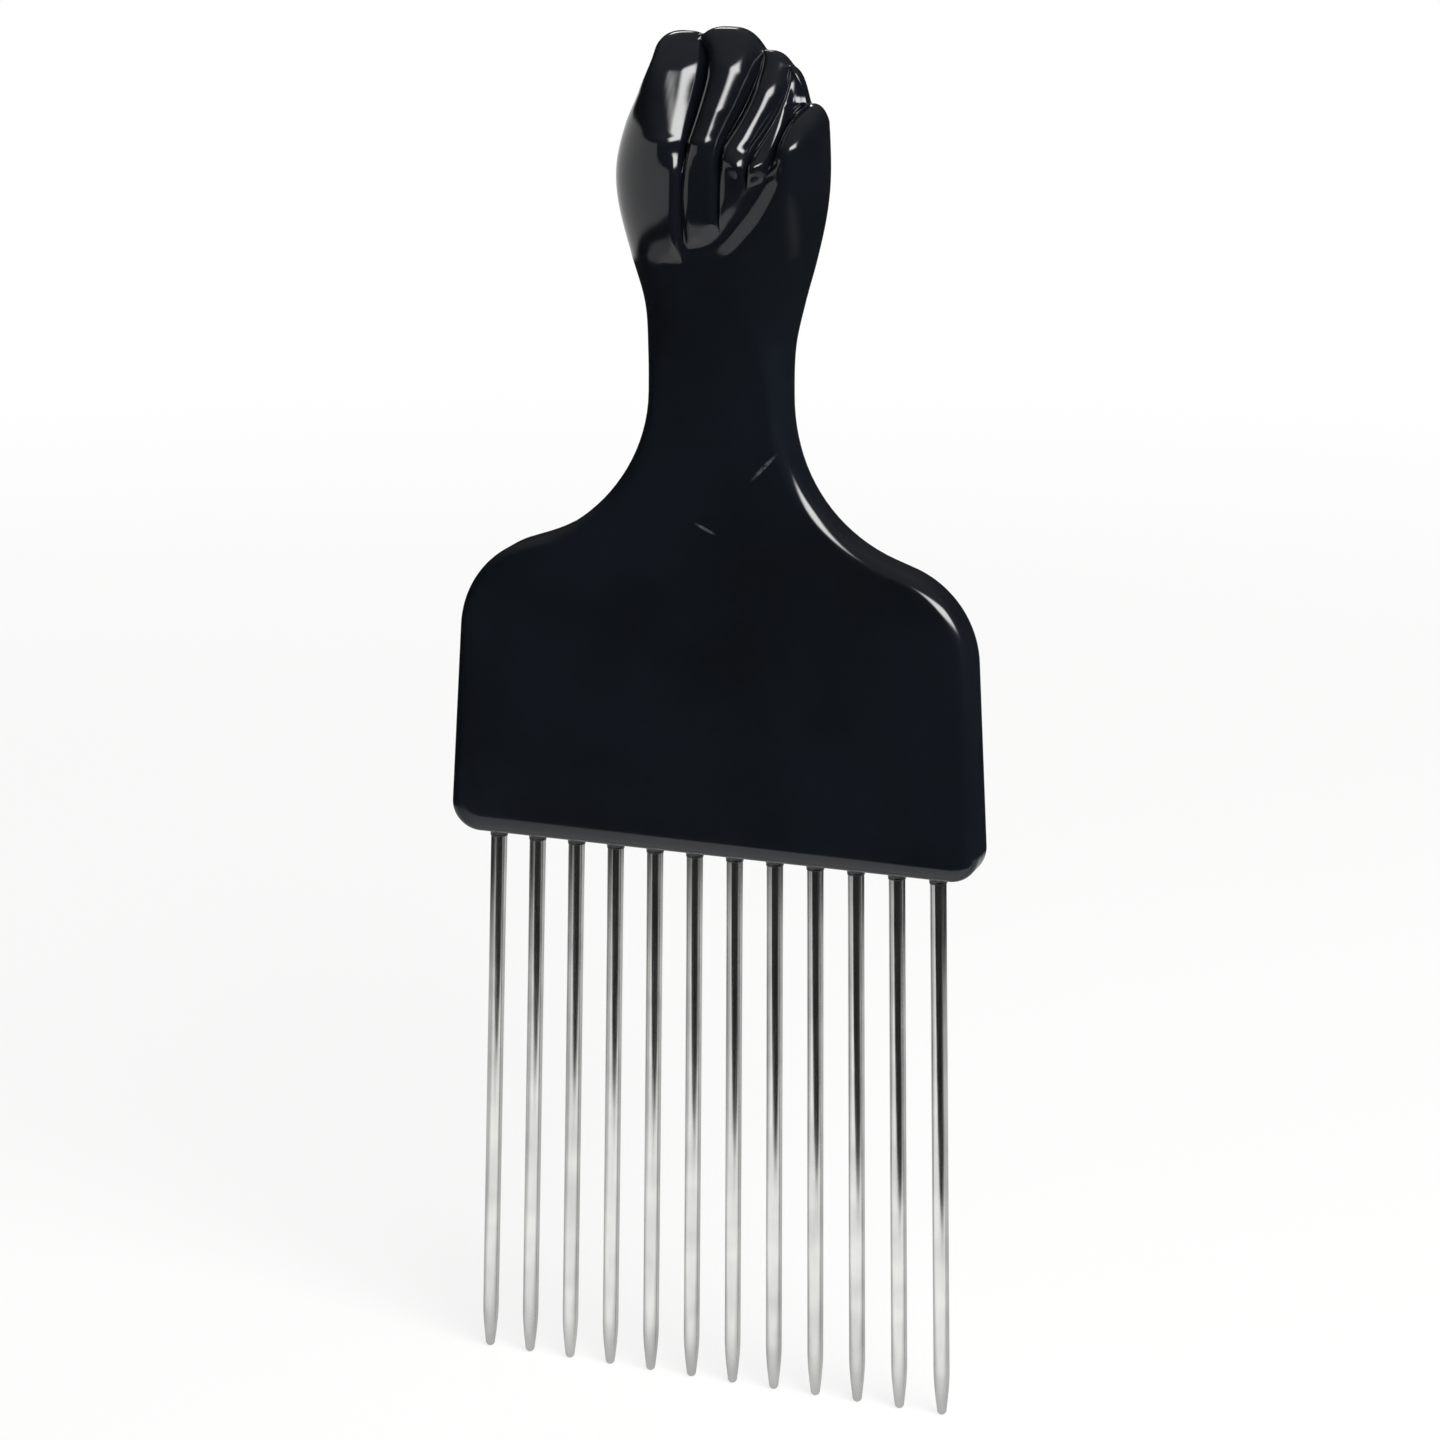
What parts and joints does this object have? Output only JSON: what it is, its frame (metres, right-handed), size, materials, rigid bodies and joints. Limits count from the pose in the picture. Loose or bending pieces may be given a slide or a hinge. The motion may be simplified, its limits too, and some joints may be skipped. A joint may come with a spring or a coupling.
{
  "type": "afro pick comb",
  "caption": "Upright afro pick: a row of round steel pins moulded into a flat black plastic blade, with a narrow neck and a grip shaped as a closed fist.",
  "frame": {"origin": "middle of the row of pin tips, at the lowest point of the part", "axes": "+X across the blade, +Z along the pins from the tips to the knuckles, -Y out of the palm side of the blade"},
  "size_m": [0.0656, 0.0165, 0.1648],
  "materials": {
    "handle_plastic": "high gloss black moulded plastic",
    "pin_steel": "polished nickel-plated steel wire"
  },
  "bodies": {
    "root": {"handle": "handle_plastic", "pin_01": "pin_steel", "pin_02": "pin_steel", "pin_03": "pin_steel", "pin_04": "pin_steel", "pin_05": "pin_steel", "pin_06": "pin_steel", "pin_07": "pin_steel", "pin_08": "pin_steel", "pin_09": "pin_steel", "pin_10": "pin_steel", "pin_11": "pin_steel", "pin_12": "pin_steel"}
  },
  "joints": []
}
